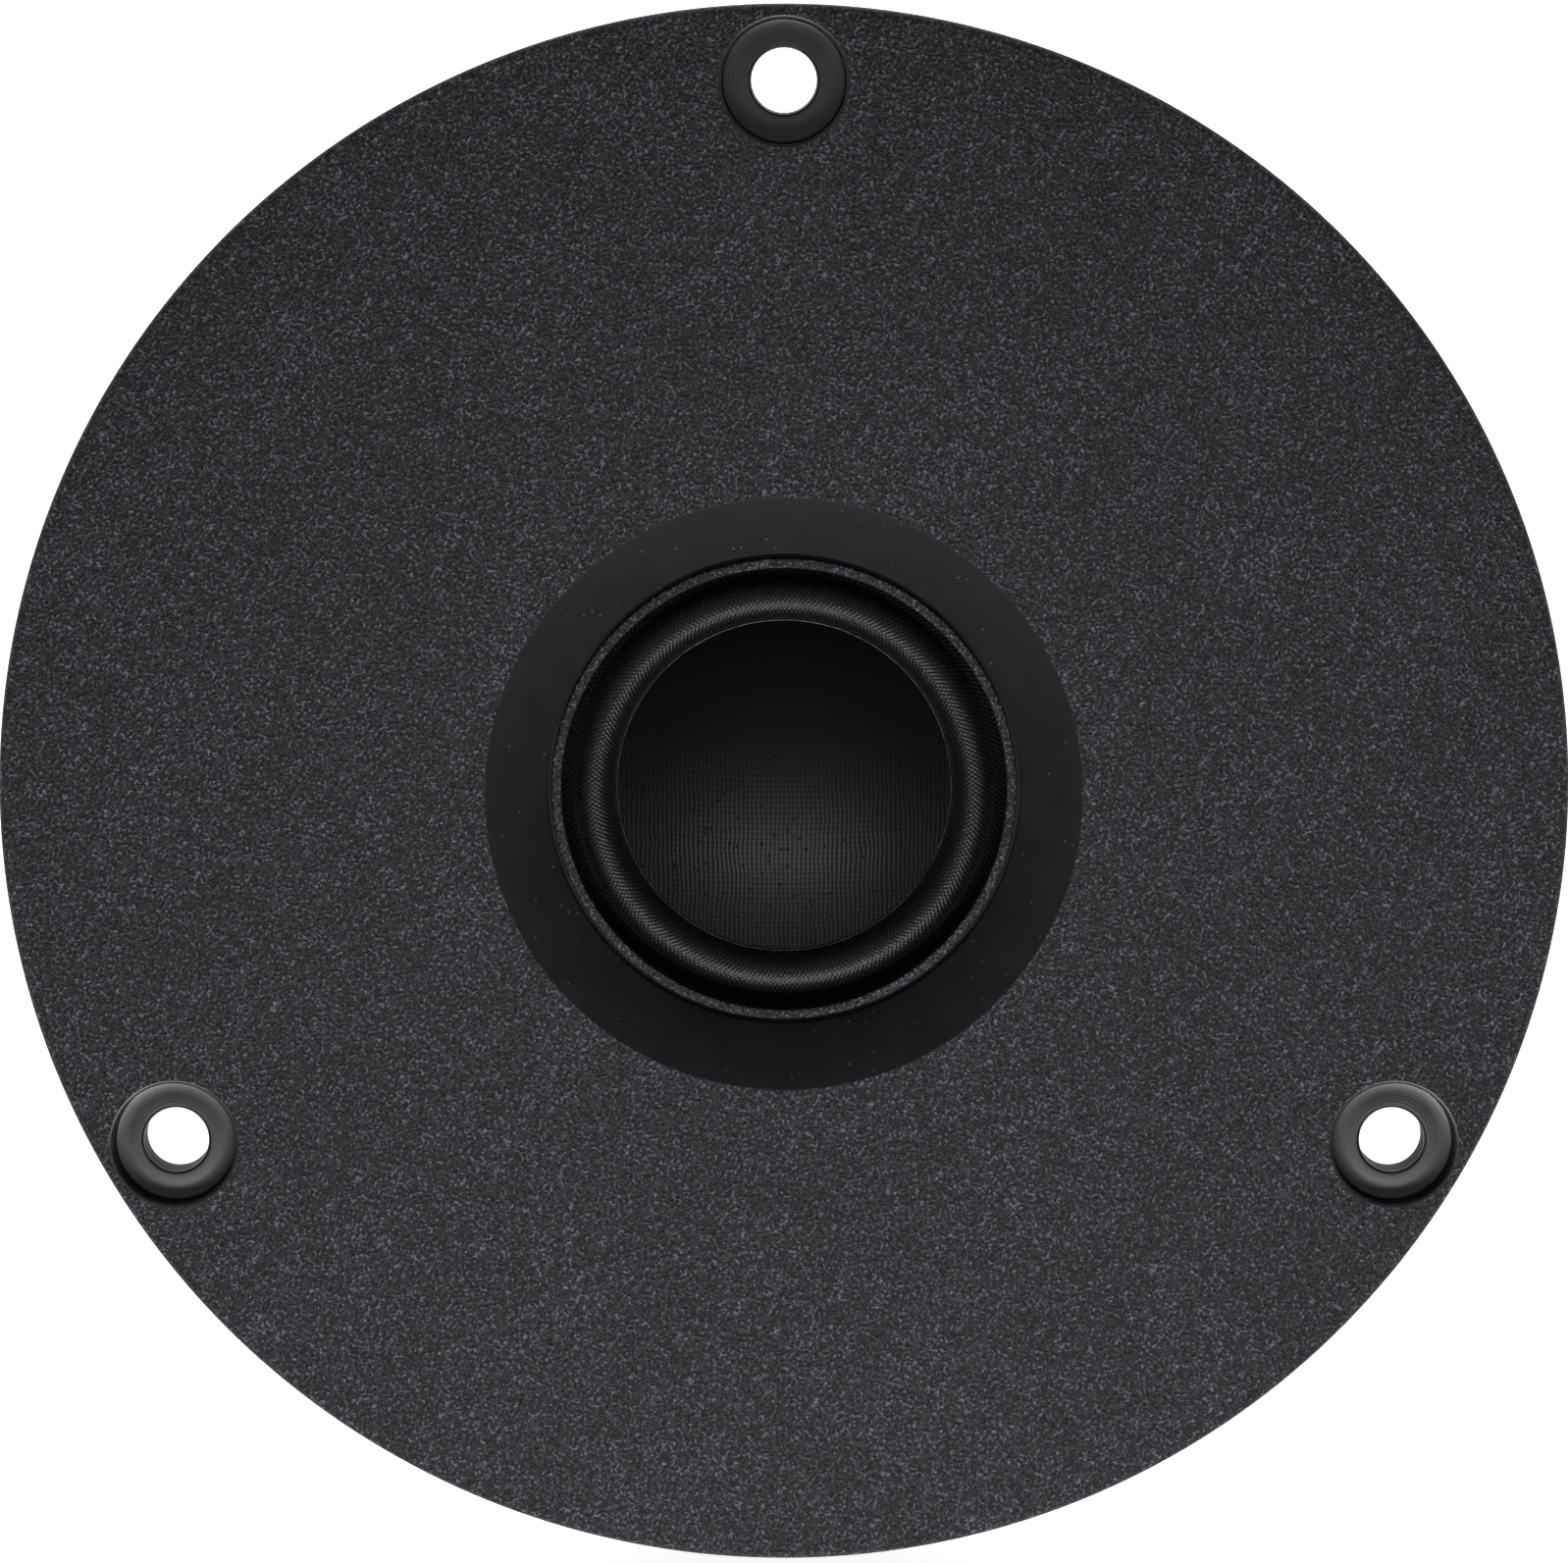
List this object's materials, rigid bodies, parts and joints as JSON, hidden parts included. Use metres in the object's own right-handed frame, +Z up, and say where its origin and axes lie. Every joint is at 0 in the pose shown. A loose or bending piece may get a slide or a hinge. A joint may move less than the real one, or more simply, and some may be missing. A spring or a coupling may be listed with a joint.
{
  "type": "flush-mount soft-dome tweeter",
  "caption": "Flush-mount soft-dome tweeter: round grained plate, conical recess, cloth dome in a half-roll surround, ring-magnet motor behind.",
  "frame": {"origin": "centre of the three mounting holes' circle, in the flange's rear face, which meets the panel", "axes": "-Y along the axis out of the front, +Z up with one mounting hole at the top, +X to the right seen from the front"},
  "size_m": [0.104, 0.0264, 0.104],
  "materials": {
    "faceplate": "grained, satin black",
    "foam": "closed-cell foam",
    "dome_cloth": "woven cloth with a thin damping coat",
    "surround_cloth": "woven cloth with a thin damping coat",
    "former_foil": "bare foil",
    "enamelled_wire": "enamelled copper wire",
    "lead_braid": "braided copper",
    "ring_plastic": "moulded, matte",
    "pin_steel": "ground",
    "motor_steel": "bright zinc plate",
    "ferrite": "ground ferrite",
    "copper": "bare copper",
    "felt": "wool felt",
    "screw_steel": "black zinc plate",
    "laminate": "phenolic laminate",
    "tinned_brass": "tin plate",
    "red_fibre": "vulcanised fibre",
    "solder": "solder",
    "label_film": "blank label"
  },
  "bodies": {
    "fixed_frame": {"faceplate": "faceplate", "mounting_gasket": "foam", "coil_lead_positive": "lead_braid", "coil_lead_negative": "lead_braid", "diaphragm_ring": "ring_plastic", "locating_pins": "pin_steel", "top_plate": "motor_steel", "magnet": "ferrite", "back_plate": "motor_steel", "pole_piece": "motor_steel", "copper_cap": "copper", "pole_felt": "felt", "vent_plug": "felt", "motor_screws": "screw_steel", "terminal_board": "laminate", "terminal_screw": "screw_steel", "terminal_positive": "tinned_brass", "terminal_negative": "tinned_brass", "terminal_rivets": "tinned_brass", "polarity_washer": "red_fibre", "solder_joints": "solder", "rear_label": "label_film"},
    "diaphragm": {"dome": "dome_cloth", "surround": "surround_cloth", "voice_coil_former": "former_foil", "voice_coil_winding": "enamelled_wire"}
  },
  "joints": [
    {"name": "diaphragm_travel", "type": "slide", "parent": "fixed_frame", "child": "diaphragm", "axis": [0, -1, 0], "range_m": [-0.0004, 0.0004], "stiffness_N_per_m": 20, "deforming": ["surround", "coil_lead_positive", "coil_lead_negative"]}
  ]
}
